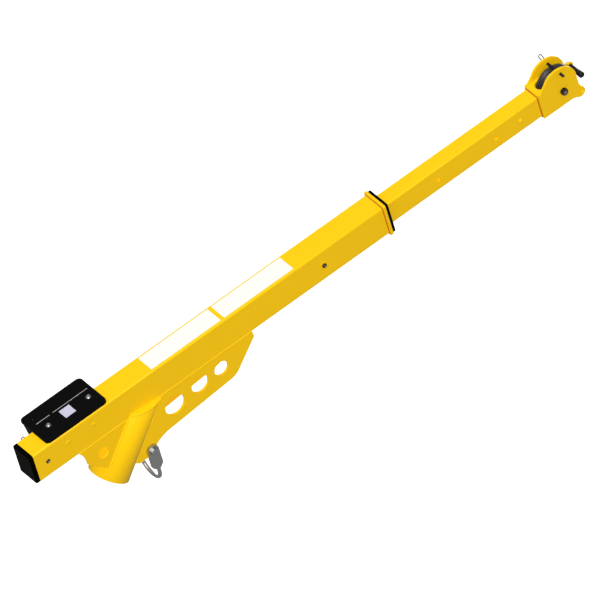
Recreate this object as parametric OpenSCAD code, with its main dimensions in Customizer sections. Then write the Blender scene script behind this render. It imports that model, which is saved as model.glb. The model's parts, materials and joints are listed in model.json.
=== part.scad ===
// Davit arm: a telescoping boom on a mast sleeve, with a rope sheave at its head.
// Millimetres. +Z runs up the mast sleeve, the boom rises towards +X, and the
// origin is the centre of the sleeve's bottom rim. The near side is -Y.

/* [Boom] */
// Rise of the boom above level
boom_rise = 40; // [36:1:44]
// Width of the outer tube
boom_w = 75; // [70:1:85]
// Height of the outer tube
boom_h = 98; // [92:1:104]
// Wall of both boom tubes
tube_wall = 5; // [4:0.5:6]
// Outer corner radius of the boom tubes
tube_corner = 5; // [2:0.5:7]
// Length of the outer tube
boom_len = 1186; // [1150:1:1300]
// Width of the inner tube
inner_w = 50; // [44:1:54]
// Height of the inner tube
inner_h = 73; // [68:1:78]
// Station of the inner tube's rear end
inner_start = 650; // [640:5:700]
// Station of the head's rear face
head_start = 1711; // [1700:1:1760]
// Distance between two lock holes
hole_pitch = 198; // [190:1:205]
// Station of the lock plunger
lock_station = 967; // [950:1:985]

/* [Mouth and tail] */
// How far the end collar stands out from the tube
collar_proud = 6; // [5.5:0.5:8]
// Length of the end collar
collar_len = 8; // [6:1:14]
// How far the wiper gasket stands out from the tube
gasket_proud = 3; // [2:0.5:5.5]
// Thickness of the wiper gasket
gasket_t = 9; // [6:0.5:12]
// Length of the guide in the tube's mouth
guide_len = 60; // [40:5:90]
// Length of the slider on the inner tube's tail
slider_len = 40; // [32:1:60]
// Thickness of the rear cap's flange
cap_t = 13; // [9:0.5:15]
// Depth of the rear cap's plug
plug_len = 56; // [52:1:70]
// Station of the rear pin
rear_pin_station = 38; // [34:1:40]

/* [Mast sleeve] */
// Outer diameter of the sleeve
sleeve_d = 114.3; // [110:0.1:120]
// Wall of the sleeve
sleeve_wall = 6.3; // [5:0.1:7.5]
// Station where the sleeve's axis meets the boom's underside
sleeve_station = 348; // [340:1:360]
// Height of that point above the sleeve's rim
sleeve_rise = 217; // [210:1:240]
// Slope of the sleeve's two top plates
top_slope = 34; // [30:0.5:36]
// Height of the top plates above the rim, on the sleeve's axis
top_rise = 224; // [220:1:230]
// Thickness of the top plates
top_t = 6; // [4:0.5:8]
// Diameter of the mast that the liner takes
mast_d = 89; // [84:0.1:92]
// Thickness of the thrust pad and of the stop plate above it
thrust_t = 8; // [6:0.5:10]
// Gap between the stop plate and the boom's underside
stop_gap = 8.3; // [5:0.1:20]

/* [Gussets and bail] */
// Thickness of the gusset plates
gusset_t = 6; // [5:0.5:8]
// Radius of the large lightening hole
hole_a_r = 31; // [26:1:34]
// Radius of the middle lightening hole
hole_b_r = 27; // [22:1:29]
// Radius of the small lightening hole
hole_c_r = 22; // [18:1:24]
// Radius of the hole behind the sleeve
hole_d_r = 18; // [14:1:20]
// Station of the bail's bolt
bail_station = 331; // [328:1:336]
// Distance of the bail's bolt below the boom
bail_drop = 145; // [142:1:150]
// Distance from the bail's bolt to the start of its bow
bail_reach = 80; // [76:1:90]
// Thickness of the bail's legs
bail_leg_t = 10; // [8:0.5:12]
// Width of the bail's legs
bail_leg_w = 34; // [28:1:36]
// Rod diameter of the bail's bow
bail_rod_d = 11; // [9:0.5:13]
// Thread diameter of the bail's bolt
bail_bolt_d = 12; // [10:1:14]

/* [Winch bracket] */
// Station of the bracket's rear edge
bracket_start = 52; // [48:1:54]
// Length of the bracket plate
bracket_len = 204; // [202:1:210]
// Width of the bracket plate
bracket_w = 128; // [122:1:134]
// How far the bracket plate stays back from the boom's near edge
bracket_inset = 2.5; // [0:0.5:8]
// Thickness of the bracket's plates
bracket_t = 6; // [5:0.5:8]
// Corner radius of the bracket plate
bracket_corner = 14; // [8:1:18]
// Thread diameter of the bracket's bolts
bracket_bolt_d = 10; // [8:1:12]
// Diameter of the winch hole in the overhang
winch_hole_d = 6; // [5:0.5:10]

/* [Head] */
// Thickness of the cheek plates
cheek_t = 6; // [5:0.5:8]
// Height of the head's square part
head_h = 84; // [80:1:92]
// Distance from the head's rear face to the axle
axle_reach = 76; // [74:1:84]
// Height of the axle above the boom's centre line
axle_up = 5.5; // [4:0.5:8]
// Radius of the cheeks' round top
dome_r = 54.5; // [52:0.5:57]
// Radius of the sheave
sheave_r = 56; // [52:0.5:57]
// Width of the sheave
sheave_w = 36; // [30:1:38]
// Radius of the rope groove
groove_r = 6; // [4:0.5:7]
// Depth of the rope groove
groove_depth = 9; // [7:0.5:11]
// Diameter of the axle bolt
axle_d = 12; // [10:1:14]
// Wall of the sheave's bush
bush_wall = 3; // [2:0.5:4]
// Radius of the nose eye
eye_r = 4.5; // [3:0.5:6]
// Radius of the guide roller at its free end
roller_r = 8.8; // [8:0.1:9.5]
// Diameter of the guide roller's pin
roller_pin_d = 8; // [6:0.5:8]

/* [Pins] */
// Diameter of the rear pin and of the lock plunger
pin_d = 12.7; // [10:0.1:14]
// Diameter of the rope keeper pin
keeper_d = 8; // [6:0.5:9]
// Height of the rear pin's wire loop
rear_loop_h = 42; // [30:1:43]
// Height of the keeper pin's wire loop
keeper_loop_h = 31; // [24:1:34]
// Wire diameter of the loops
wire_d = 2.2; // [1.6:0.1:3]
// Backward lean of both wire loops
loop_lean = 17; // [0:1:25]
// Travel of the lock plunger
plunger_travel = 5; // [4.6:0.1:6]

/* [Labels] */
// Width of the two blank labels
label_w = 60; // [40:1:66]
// Length of each blank label
label_len = 233; // [200:1:235]
// Side of the small tag
tag_side = 34; // [20:1:40]

/* [Fits] */
// Radial clearance of a turning or sliding pin
pin_gap = 0.1; // [0.05:0.01:0.1]
// Gap between two parts that slide past each other
slide_gap = 0.3; // [0.2:0.05:0.4]
// Radial clearance of a bolt in its hole
bolt_gap = 0.15; // [0.1:0.05:0.3]

/* [Hidden] */

$fn = 64;
yellow = [0.98, 0.80, 0.06];
black = [0.09, 0.09, 0.10];
steel = [0.62, 0.63, 0.65];
white = [0.95, 0.95, 0.95];
nylon = [0.85, 0.85, 0.80];
bronze = [0.72, 0.53, 0.28];

// Sizes that follow from the ones above
half_w = boom_w / 2;
half_h = boom_h / 2;
inner_half_w = inner_w / 2;
inner_half_h = inner_h / 2;
bore_w = boom_w - 2 * tube_wall;
bore_h = boom_h - 2 * tube_wall;
sleeve_r = sleeve_d / 2;
sleeve_bore_r = sleeve_r - sleeve_wall;
liner_bore_r = mast_d / 2 + slide_gap;
liner_len = sleeve_rise - sleeve_bore_r * tan(boom_rise) - stop_gap - 2 * thrust_t;
boom_x = -(sleeve_station * cos(boom_rise) + half_h * sin(boom_rise));
boom_z = sleeve_rise - sleeve_station * sin(boom_rise) + half_h * cos(boom_rise);
far = 3000;

// Head, from its rear face
cheek_out = inner_half_w + cheek_t;
head_half_h = head_h / 2;
axle_x = head_start + axle_reach;
dome_x = axle_x - 4;
dome_z = axle_up + 25.5;
front_x = dome_x + dome_r - 0.5;
lug_r = 16;
lug_x = front_x - 2.5;
lug_z = -head_half_h + 5;
lug_pad_t = 3;
eye_x = lug_x + 6.5;
eye_z = lug_z - 2;
keeper_x = axle_x + 6;
keeper_z = axle_up + sheave_r + keeper_d / 2 + 0.5;
roller_x = front_x + 17.5;
roller_z = axle_up + 3;
roller_lug_r = 10.5;
roller_len = 2 * inner_half_w + 3;
core_len = axle_reach - sheave_r - 5;
slot_w = sheave_w + 3;
slot_end = core_len + slot_w / 2 + 1;
top_plate_t = cheek_t;
top_plate_len = core_len + 40;
stub_len = 100;
head_bolt_x = head_start - 66;
head_bolt_d = 8;

// Bail, from the boom's axis
bail_z = -half_h - bail_drop;
bail_y = half_w + 0.5 + bail_leg_t / 2;
bail_out = half_w + 0.5 + bail_leg_t;

// Winch bracket
overhang_y = bracket_w + bracket_inset - half_w;
plate_z = half_h + bracket_t;
tab_starts = [22, 77];
tab_lens = [44, 116];
dome_bolt_x = [bracket_start + 42, bracket_start + 176];
dome_bolt_y = 16;
side_bolt_x = [bracket_start + 57, bracket_start + 144];
side_bolt_z = 14;
tag_x = bracket_start + 107;
tag_y = 17;
end_gusset_inset = 4;

// The boom's own axes: x along the boom, y to the far side, z to its top face
module on_boom() translate([boom_x, 0, boom_z]) rotate([0, -boom_rise, 0]) children();

// A cylinder across the boom, from the lower y to the higher y
module cross_rod(x, z, r, y0, y1, sides = 48)
    translate([x, y0, z]) rotate([-90, 0, 0]) cylinder(h = y1 - y0, r = r, $fn = sides);

// A hexagon across the boom, from the lower y to the higher y
module cross_hex(x, z, across, y0, y1)
    translate([x, y0, z]) rotate([-90, 0, 0]) cylinder(h = y1 - y0, d = across / cos(30), $fn = 6);

module rounded_box_2d(w, h, r) {
    square([w - 2 * r, h], center = true);
    square([w, h - 2 * r], center = true);
    for (sx = [-1, 1], sy = [-1, 1])
        translate([sx * (w / 2 - r), sy * (h / 2 - r)]) circle(r = r, $fn = 32);
}

// A rounded rectangular bar along the boom
module boom_bar(x0, x1, w, h, r)
    translate([x0, 0, 0]) rotate([90, 0, 90]) linear_extrude(x1 - x0) rounded_box_2d(w, h, r);

// A plate that stands along the boom, drawn in x and z, from y0 to y0 + t
module side_plate(y0, t) translate([0, y0 + t, 0]) rotate([90, 0, 0]) linear_extrude(t) children();

function arc(cx, cz, r, a0, a1, steps) =
    [for (i = [0:steps], a = a0 + (a1 - a0) * i / steps) [cx + r * cos(a), cz + r * sin(a)]];

// Outer boom

module outer_tube() color(yellow) on_boom() difference() {
    boom_bar(0, boom_len, boom_w, boom_h, tube_corner);
    boom_bar(-1, boom_len + 1, bore_w, bore_h, 1);
    cross_rod(rear_pin_station, 0, pin_d / 2 + pin_gap, -half_w - 1, half_w + 1);
    cross_rod(lock_station, 0, bush_r(), -half_w - 1, 0);
    for (x = side_bolt_x) {
        cross_rod(x, side_bolt_z, bracket_bolt_d / 2 + bolt_gap, 0, half_w + 1);
        cross_rod(x, side_bolt_z, bracket_bolt_d / 2 + 0.5, -half_w - 1, 0);
    }
    for (x = dome_bolt_x)
        translate([x, dome_bolt_y, 0]) cylinder(h = half_h + 1, d = bracket_bolt_d + 2 * bolt_gap);
}

cap_bevel = 2.5;

module rear_cap() color(black) on_boom() {
    difference() {
        union() {
            hull() {
                boom_bar(-cap_t + cap_bevel, 0, boom_w, boom_h, tube_corner);
                boom_bar(-cap_t, -cap_t + 1, boom_w - 2 * cap_bevel, boom_h - 2 * cap_bevel, tube_corner - 1);
            }
            difference() {
                boom_bar(0, plug_len, bore_w - 2 * slide_gap, bore_h - 2 * slide_gap, 2);
                boom_bar(4, plug_len + 1, bore_w - 10, bore_h - 10, 2);
            }
            cross_rod(rear_pin_station, 0, pin_d / 2 + 4, -bore_w / 2 + 2, bore_w / 2 - 2);
        }
        cross_rod(rear_pin_station, 0, pin_d / 2 + pin_gap, -half_w, half_w);
    }
}

module end_collar() color(yellow) on_boom() difference() {
    boom_bar(boom_len - collar_len, boom_len, boom_w + 2 * collar_proud, boom_h + 2 * collar_proud,
        tube_corner);
    boom_bar(boom_len - collar_len - 1, boom_len + 1, boom_w, boom_h, tube_corner);
}

module wiper_gasket() color(black) on_boom() difference() {
    boom_bar(boom_len, boom_len + gasket_t, boom_w + 2 * gasket_proud, boom_h + 2 * gasket_proud,
        tube_corner);
    boom_bar(boom_len - 1, boom_len + gasket_t + 1, inner_w + 2 * slide_gap, inner_h + 2 * slide_gap,
        tube_corner);
    mouth_screws_at() cylinder(h = 60, d = 4 + 2 * bolt_gap, $fn = 24);
}

// The four places where the gasket is screwed to the guide, starting 12 mm deep and pointing out
mouth_screw_depth = 12;
mouth_screw_y = (bore_w / 2 + inner_half_w + slide_gap) / 2;
mouth_screw_z = inner_half_h * 0.7;
module mouth_screws_at()
    for (sy = [-1, 1], sz = [-1, 1])
        translate([boom_len - mouth_screw_depth, sy * mouth_screw_y, sz * mouth_screw_z])
            rotate([0, 90, 0]) children();

module gasket_screws() color(steel) on_boom() mouth_screws_at() {
    cylinder(h = mouth_screw_depth + gasket_t, d = 4, $fn = 24);
    translate([0, 0, mouth_screw_depth + gasket_t]) cylinder(h = 2, r = 2.6, $fn = 24);
}

module front_guide() color(nylon) on_boom() difference() {
    boom_bar(boom_len - guide_len, boom_len, bore_w, bore_h, 1);
    boom_bar(boom_len - guide_len - 1, boom_len + 1, inner_w + 2 * slide_gap, inner_h + 2 * slide_gap,
        tube_corner);
    mouth_screws_at() cylinder(h = 20, d = 4 + 2 * bolt_gap, $fn = 24);
}

// Mast sleeve

module boom_space() on_boom() translate([0, -half_w, -half_h]) cube([boom_len, boom_w, boom_h + far]);

// A slab under the sloping top of the sleeve, beside the boom. side is -1 near and 1 far
module top_slab(side, z0, h)
    translate([0, side * (half_w + sleeve_r / 2), top_rise]) rotate([0, -top_slope, 0])
        translate([0, 0, z0 + h / 2]) cube([4 * sleeve_r, sleeve_r, h], center = true);

module mast_sleeve() color(yellow) difference() {
    cylinder(h = top_rise + sleeve_d, r = sleeve_r, $fn = 96);
    translate([0, 0, -1]) cylinder(h = top_rise + sleeve_d + 2, r = sleeve_bore_r, $fn = 96);
    boom_space();
    for (side = [-1, 1]) top_slab(side, -top_t, 4 * sleeve_r);
}

module sleeve_top_plates() color(yellow) for (side = [-1, 1]) intersection() {
    cylinder(h = top_rise + sleeve_d, r = sleeve_r, $fn = 96);
    top_slab(side, -top_t, top_t);
}

module mast_liner() color(nylon) difference() {
    cylinder(h = liner_len, r = sleeve_bore_r, $fn = 96);
    translate([0, 0, -1]) cylinder(h = liner_len + 2, r = liner_bore_r, $fn = 96);
}

module thrust_pad() color(nylon) translate([0, 0, liner_len])
    cylinder(h = thrust_t, r = sleeve_bore_r, $fn = 96);

module mast_stop_plate() color(yellow) translate([0, 0, liner_len + thrust_t])
    cylinder(h = thrust_t, r = sleeve_bore_r, $fn = 96);

// Gussets

gusset_hole_d = [sleeve_station - 152, -half_h - 48];
gusset_hole_a = [sleeve_station + 87, -half_h - 57];
gusset_hole_b = [sleeve_station + 174, -half_h - 48];
gusset_hole_c = [sleeve_station + 246, -half_h - 47];

module rear_gusset_2d() difference() {
    polygon(concat(
        arc(sleeve_station - 291, -half_h - 48, 87, asin(48 / 87), 0, 6),
        [[sleeve_station - 204, -half_h - 53], [sleeve_station - 196, -half_h - 62],
         [sleeve_station - 143, -half_h - 117], [sleeve_station - 88, -half_h - 117],
         [sleeve_station - 8, -half_h]]));
    translate(gusset_hole_d) circle(r = hole_d_r);
}

module front_gusset_2d() difference() {
    polygon(concat(
        [[sleeve_station, -half_h], [sleeve_station + 364, -half_h], [sleeve_station + 365, -half_h - 19]],
        arc(sleeve_station + 262, -half_h - 60, 44, -44, -84.7, 5),
        arc(sleeve_station + 61, -half_h - 223, 100, 95.3, 126, 5),
        arc(bail_station, bail_z, 20, 2, -90, 6),
        [[bail_station - 45, bail_z - 20], [bail_station - 56, bail_z - 10],
         [bail_station - 68, bail_z + 8], [sleeve_station - 20, -half_h - 60]]));
    translate(gusset_hole_a) circle(r = hole_a_r);
    translate(gusset_hole_b) circle(r = hole_b_r);
    translate(gusset_hole_c) circle(r = hole_c_r);
    translate([bail_station, bail_z]) circle(r = bail_bolt_d / 2 + bolt_gap);
}

// One plate, with the sleeve's round outside cut from it. side is -1 near and 1 far
module gusset(side) difference() {
    on_boom() side_plate(side > 0 ? half_w - gusset_t : -half_w, gusset_t) children();
    translate([0, 0, -far / 2]) cylinder(h = far, r = sleeve_r, $fn = 96);
}

module rear_gusset_near() color(yellow) gusset(-1) rear_gusset_2d();
module rear_gusset_far() color(yellow) gusset(1) rear_gusset_2d();
module front_gusset_near() color(yellow) gusset(-1) front_gusset_2d();
module front_gusset_far() color(yellow) gusset(1) front_gusset_2d();

// Bail

module bail_leg_2d() {
    neck = bail_rod_d / 2;
    circle(d = bail_leg_w);
    polygon([[-bail_leg_w / 2, 0], [bail_leg_w / 2, 0], [bail_leg_w / 2, 25 - bail_reach],
        [neck, 12 - bail_reach], [-neck, 12 - bail_reach], [-bail_leg_w / 2, 25 - bail_reach]]);
}

module bail() color(steel) on_boom() translate([bail_station, 0, bail_z]) {
    for (side = [-1, 1]) {
        difference() {
            side_plate(side * bail_y - bail_leg_t / 2, bail_leg_t) bail_leg_2d();
            cross_rod(0, 0, bail_bolt_d / 2 + pin_gap, side * bail_y - bail_leg_t, side * bail_y + bail_leg_t);
        }
        translate([0, side * bail_y, -bail_reach]) cylinder(h = 16, d = bail_rod_d, $fn = 32);
    }
    translate([0, 0, -bail_reach]) rotate([0, 0, 90]) rotate([-90, 0, 0])
        rotate_extrude(angle = 180, $fn = 64) translate([bail_y, 0]) circle(d = bail_rod_d, $fn = 32);
}

module bail_bolt() color(steel) on_boom() {
    cross_rod(bail_station, bail_z, bail_bolt_d / 2, -bail_out - 0.5, bail_out + 15);
    cross_hex(bail_station, bail_z, 1.5 * bail_bolt_d, -bail_out - 8, -bail_out - 0.5);
}

module bail_nut() color(steel) on_boom() difference() {
    cross_hex(bail_station, bail_z, 1.5 * bail_bolt_d, bail_out + 0.5, bail_out + 11);
    cross_rod(bail_station, bail_z, bail_bolt_d / 2, bail_out, bail_out + 12);
}

module bail_spacer() color(steel) on_boom() difference() {
    cross_rod(bail_station, bail_z, bail_bolt_d / 2 + 4, -half_w + gusset_t, half_w - gusset_t);
    cross_rod(bail_station, bail_z, bail_bolt_d / 2 + bolt_gap, -half_w, half_w);
}

// Winch bracket

module bracket_plate() color(black) on_boom() difference() {
    translate([bracket_start + bracket_len / 2, overhang_y - bracket_w / 2, half_h])
        linear_extrude(bracket_t) rounded_box_2d(bracket_len, bracket_w, bracket_corner);
    for (i = [0, 1])
        translate([bracket_start + tab_starts[i], half_w, half_h - 1])
            cube([tab_lens[i], bracket_t, bracket_t + 2]);
    for (x = dome_bolt_x)
        translate([x, dome_bolt_y, 0]) cylinder(h = far, d = bracket_bolt_d + 2 * bolt_gap);
    translate([bracket_start + 27, overhang_y - 25, 0]) cylinder(h = far, d = winch_hole_d, $fn = 32);
}

side_plate_x0 = bracket_start + end_gusset_inset + bracket_t;
side_plate_x1 = bracket_start + bracket_len - end_gusset_inset - bracket_t;

module bracket_side_plate() color(black) on_boom() difference() {
    union() {
        translate([side_plate_x0, half_w, -half_h + 20])
            cube([side_plate_x1 - side_plate_x0, bracket_t, boom_h - 20]);
        for (i = [0, 1])
            translate([bracket_start + tab_starts[i], half_w, half_h - 1])
                cube([tab_lens[i], bracket_t, bracket_t + 1]);
    }
    for (x = side_bolt_x) cross_rod(x, side_bolt_z, bracket_bolt_d / 2 + bolt_gap, 0, far / 2);
}

// A sloping web under the overhang, square to the boom
module bracket_end_gusset(x0) on_boom() translate([x0, 0, 0]) rotate([90, 0, 90]) linear_extrude(bracket_t)
    polygon([[half_w, half_h], [overhang_y - 5, half_h], [half_w + bracket_t + 5, -half_h + 15],
        [half_w, -half_h + 15]]);

module bracket_end_gusset_rear() color(black) bracket_end_gusset(bracket_start + end_gusset_inset);
module bracket_end_gusset_front() color(black) bracket_end_gusset(side_plate_x1);

module dome(r, h) rotate_extrude($fn = 48) intersection() {
    scale_r = (r * r + h * h) / (2 * h);
    translate([0, h - scale_r]) circle(r = scale_r, $fn = 96);
    square([r, h]);
}

module bracket_top_bolts() color(black) on_boom() for (x = dome_bolt_x) translate([x, dome_bolt_y, 0]) {
    translate([0, 0, half_h - tube_wall - 10]) cylinder(h = 10 + tube_wall + bracket_t, d = bracket_bolt_d);
    translate([0, 0, plate_z]) dome(0.8 * bracket_bolt_d, 0.5 * bracket_bolt_d);
}

module bracket_top_nuts() color(steel) on_boom() for (x = dome_bolt_x)
    translate([x, dome_bolt_y, half_h - tube_wall - 0.8 * bracket_bolt_d]) difference() {
        cylinder(h = 0.8 * bracket_bolt_d, d = 1.7 * bracket_bolt_d / cos(30), $fn = 6);
        translate([0, 0, -1]) cylinder(h = bracket_bolt_d + 1, d = bracket_bolt_d);
    }

module bracket_side_bolts() color(steel) on_boom() for (x = side_bolt_x) {
    cross_rod(x, side_bolt_z, bracket_bolt_d / 2, half_w - tube_wall - 10, half_w + bracket_t);
    cross_hex(x, side_bolt_z, 1.7 * bracket_bolt_d, half_w + bracket_t, half_w + bracket_t + 6.5);
}

module bracket_side_nuts() color(steel) on_boom() for (x = side_bolt_x) difference() {
    cross_hex(x, side_bolt_z, 1.7 * bracket_bolt_d, half_w - tube_wall - 8, half_w - tube_wall);
    cross_rod(x, side_bolt_z, bracket_bolt_d / 2, half_w - tube_wall - 9, half_w);
}

// Blank labels

label_t = 0.4;

module blank_label(x0) on_boom() translate([x0, -label_w / 2, half_h]) cube([label_len, label_w, label_t]);

module label_rear() color(white) blank_label(sleeve_station + 57);
module label_front() color(white) blank_label(sleeve_station + 69 + label_len);
module tag_label() color(white) on_boom()
    translate([tag_x - tag_side / 2, tag_y - tag_side / 2, plate_z])
        cube([tag_side, tag_side, label_t]);

// Pins. Each runs across the boom, with its round tip on the near side and its loop on the far side

function bush_r() = pin_d / 2 + 3;

module pin_tip(x, z, r, y, h) translate([x, y, z]) rotate([90, 0, 0]) dome(r, h);

module plunger_bush() color(yellow) on_boom() difference() {
    union() {
        cross_rod(lock_station, 0, bush_r(), -half_w - 1.5, -half_w + tube_wall);
        cross_rod(lock_station, 0, bush_r() + 2, -half_w - 1.5, -half_w);
    }
    cross_rod(lock_station, 0, pin_d / 2 + pin_gap, -half_w - 3, 0);
}

module lock_plunger() color(black) on_boom() {
    plunger_out = half_w + plunger_travel;
    cross_rod(lock_station, 0, pin_d / 2, -plunger_out, -inner_half_w - slide_gap);
    pin_tip(lock_station, 0, pin_d / 2, -plunger_out, 4);
}

tang_w = 6;

// Shank, collar and tang of a loop pin. near and out are the half widths that it spans
module loop_pin(r, near, out, collar_r, collar_t) {
    cross_rod(0, 0, r, -near, out + 1);
    pin_tip(0, 0, r, -near, 0.6 * r);
    cross_rod(0, 0, collar_r, out, out + collar_t);
    rotate([0, -loop_lean, 0]) difference() {
        translate([-tang_w / 2, out + collar_t - 0.5, -tang_w / 2]) cube([tang_w, 10.5, tang_w]);
        translate([-tang_w, out + collar_t + 5, 0]) rotate([0, 90, 0])
            cylinder(h = 2 * tang_w, d = wire_d + 2 * pin_gap, $fn = 32);
    }
}

// Wire loop: a straight bar through the tang, two legs and a round top
module wire_loop(y, h) rotate([0, -loop_lean, 0]) translate([0, y, 0]) {
    leg_x = tang_w / 2 + wire_d / 2 + slide_gap;
    translate([-leg_x, 0, 0]) rotate([0, 90, 0]) cylinder(h = 2 * leg_x, d = wire_d, $fn = 32);
    for (side = [-1, 1]) translate([side * leg_x, 0, 0]) {
        sphere(d = wire_d, $fn = 32);
        cylinder(h = h - leg_x, d = wire_d, $fn = 32);
    }
    translate([0, 0, h - leg_x]) rotate([90, 0, 0])
        rotate_extrude(angle = 180, $fn = 48) translate([leg_x, 0]) circle(d = wire_d, $fn = 32);
}

rear_collar_t = 5;
keeper_collar_t = 4;

module at_rear_pin() on_boom() translate([rear_pin_station, 0, 0]) children();
module at_keeper() on_boom() translate([keeper_x, 0, keeper_z]) children();

module rear_pin() color(black) at_rear_pin()
    loop_pin(pin_d / 2, half_w + 1, half_w, pin_d / 2 + 3, rear_collar_t);
module rear_pin_loop() color(steel) at_rear_pin() wire_loop(half_w + rear_collar_t + 5, rear_loop_h);
module keeper_pin() color(black) at_keeper()
    loop_pin(keeper_d / 2, cheek_out + 14, cheek_out, keeper_d / 2 + 2.5, keeper_collar_t);
module keeper_pin_loop() color(steel) at_keeper() wire_loop(cheek_out + keeper_collar_t + 5, keeper_loop_h);

// Inner boom

lock_holes = [for (i = [0:3]) lock_station + i * hole_pitch];
slider_screw_y = inner_half_w - 11;
slider_seat_z = bore_h / 2 - 4;

module at_slider_screws() for (sy = [-1, 1], top = [0, 180])
    rotate([top, 0, 0]) translate([inner_start + slider_len / 2, sy * slider_screw_y, 0]) children();

module inner_tube() color(yellow) on_boom() difference() {
    boom_bar(inner_start, head_start, inner_w, inner_h, tube_corner);
    boom_bar(inner_start - 1, head_start + 1, inner_w - 2 * tube_wall, inner_h - 2 * tube_wall, 1);
    for (x = lock_holes) cross_rod(x, 0, pin_d / 2 + 0.3, -half_w, half_w);
    cross_rod(head_bolt_x, 0, head_bolt_d / 2 + bolt_gap, -half_w, half_w);
    at_slider_screws() cylinder(h = far, d = 5 + 2 * bolt_gap, $fn = 24);
}

module rear_slider() color(nylon) on_boom() difference() {
    boom_bar(inner_start, inner_start + slider_len, bore_w - 2 * slide_gap, bore_h - 2 * slide_gap, 1);
    boom_bar(inner_start - 1, inner_start + slider_len + 1, inner_w, inner_h, tube_corner);
    at_slider_screws() {
        cylinder(h = far, d = 5 + 2 * bolt_gap, $fn = 24);
        translate([0, 0, slider_seat_z]) cylinder(h = far, d = 10, $fn = 32);
    }
}

module slider_screws() color(steel) on_boom() at_slider_screws() {
    shank_z = inner_half_h - tube_wall - 1;
    translate([0, 0, shank_z]) cylinder(h = slider_seat_z - shank_z, d = 5, $fn = 24);
    translate([0, 0, slider_seat_z]) cylinder(h = 2.5, d = 9, $fn = 32);
}

// Head

// Block between the cheeks, with a slotted top plate and a stub that goes into the inner tube
module head_core() color(yellow) on_boom() difference() {
    union() {
        translate([head_start, -inner_half_w, -head_half_h]) cube([core_len, inner_w, head_h]);
        translate([head_start, -inner_half_w, head_half_h - top_plate_t])
            cube([top_plate_len, inner_w, top_plate_t]);
        boom_bar(head_start - stub_len, head_start + 1, inner_w - 2 * tube_wall - 2 * slide_gap,
            inner_h - 2 * tube_wall - 2 * slide_gap, 1);
    }
    boom_bar(head_start - stub_len - 1, head_start + core_len - 6, inner_w - 4 * tube_wall,
        inner_h - 4 * tube_wall, 2);
    translate([head_start + slot_end, 0, head_half_h - top_plate_t - 2]) {
        cylinder(h = far, d = slot_w);
        translate([0, -slot_w / 2, 0]) cube([far, slot_w, far]);
    }
    cross_rod(head_bolt_x, 0, head_bolt_d / 2 + bolt_gap, -half_w, half_w);
}

rise_angle = 140;

// A cheek: square rear, round top and a nose lug, which is padded on its inner side. side is -1 near and
// 1 far. The children are added before the holes are drilled
module cheek(side) on_boom() difference() {
    y0 = side > 0 ? inner_half_w : -cheek_out;
    y1 = y0 + cheek_t;
    union() {
        cross_rod(dome_x, dome_z, dome_r, y0, y1, 128);
        cross_rod(lug_x, lug_z, lug_r, side > 0 ? y0 - lug_pad_t : y0, side > 0 ? y1 : y1 + lug_pad_t);
        side_plate(y0, cheek_t) polygon([[head_start, -head_half_h], [head_start, head_half_h + 2],
            [head_start + 9, head_half_h + 2],
            [dome_x + (dome_r - 1) * cos(rise_angle), dome_z + (dome_r - 1) * sin(rise_angle)],
            [dome_x, dome_z], [front_x, dome_z], [front_x, lug_z + lug_r + 14],
            [front_x + 4, lug_z + lug_r + 3], [lug_x, lug_z],
            [lug_x - 8, lug_z - lug_r + 4], [front_x - 28, -head_half_h]]);
        children();
    }
    cross_rod(axle_x, axle_up, axle_d / 2 + bolt_gap, y0 - 1, y1 + 1);
    cross_rod(keeper_x, keeper_z, keeper_d / 2 + pin_gap, y0 - 1, y1 + 1);
    cross_rod(eye_x, eye_z, eye_r, -far, far);
    cross_rod(roller_x, roller_z, roller_pin_d / 2 + bolt_gap, y0 - 1, y1 + 1);
}

module cheek_near() color(yellow) cheek(-1);

// The far cheek has one more lug, which carries the guide roller
module cheek_far() color(yellow) cheek(1) {
    cross_rod(roller_x, roller_z, roller_lug_r, inner_half_w, cheek_out);
    side_plate(inner_half_w, cheek_t) polygon([[front_x - 3, roller_z + 21],
        [roller_x - 1, roller_z + roller_lug_r - 1], [roller_x, roller_z - roller_lug_r + 1.5],
        [front_x - 2, roller_z - roller_lug_r - 6]]);
}

module head_bolt() color(yellow) on_boom() {
    cross_rod(head_bolt_x, 0, head_bolt_d / 2, -inner_half_w, inner_half_w + 9);
    pin_tip(head_bolt_x, 0, 0.8 * head_bolt_d, -inner_half_w, 4);
}

module head_nut() color(steel) on_boom() difference() {
    cross_hex(head_bolt_x, 0, 13, inner_half_w, inner_half_w + 6.5);
    cross_rod(head_bolt_x, 0, head_bolt_d / 2, 0, half_w);
}

// Sheave, on its bush

bush_out_r = axle_d / 2 + pin_gap + bush_wall;
hub_r = bush_out_r + 8;

module sheave() color(black) on_boom() translate([axle_x, 0, axle_up]) rotate([-90, 0, 0])
    rotate_extrude($fn = 128) difference() {
        translate([bush_out_r, -sheave_w / 2]) square([sheave_r - bush_out_r, sheave_w]);
        // rope groove: a round bottom and straight flaring sides
        translate([sheave_r - groove_depth + groove_r, 0]) circle(r = groove_r, $fn = 48);
        polygon([[sheave_r - groove_depth + groove_r, -groove_r], [sheave_r + 1, -sheave_w / 2 + 2],
            [sheave_r + 1, sheave_w / 2 - 2], [sheave_r - groove_depth + groove_r, groove_r]]);
        // thinned web on both sides
        for (side = [-1, 1]) translate([hub_r, side > 0 ? sheave_w / 2 - 7 : -sheave_w / 2 - 1])
            square([sheave_r - groove_depth - 6 - hub_r, 8]);
    }

module sheave_bush() color(bronze) on_boom() difference() {
    cross_rod(axle_x, axle_up, bush_out_r, -sheave_w / 2, sheave_w / 2);
    cross_rod(axle_x, axle_up, axle_d / 2 + pin_gap, -sheave_w, sheave_w);
}

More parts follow.
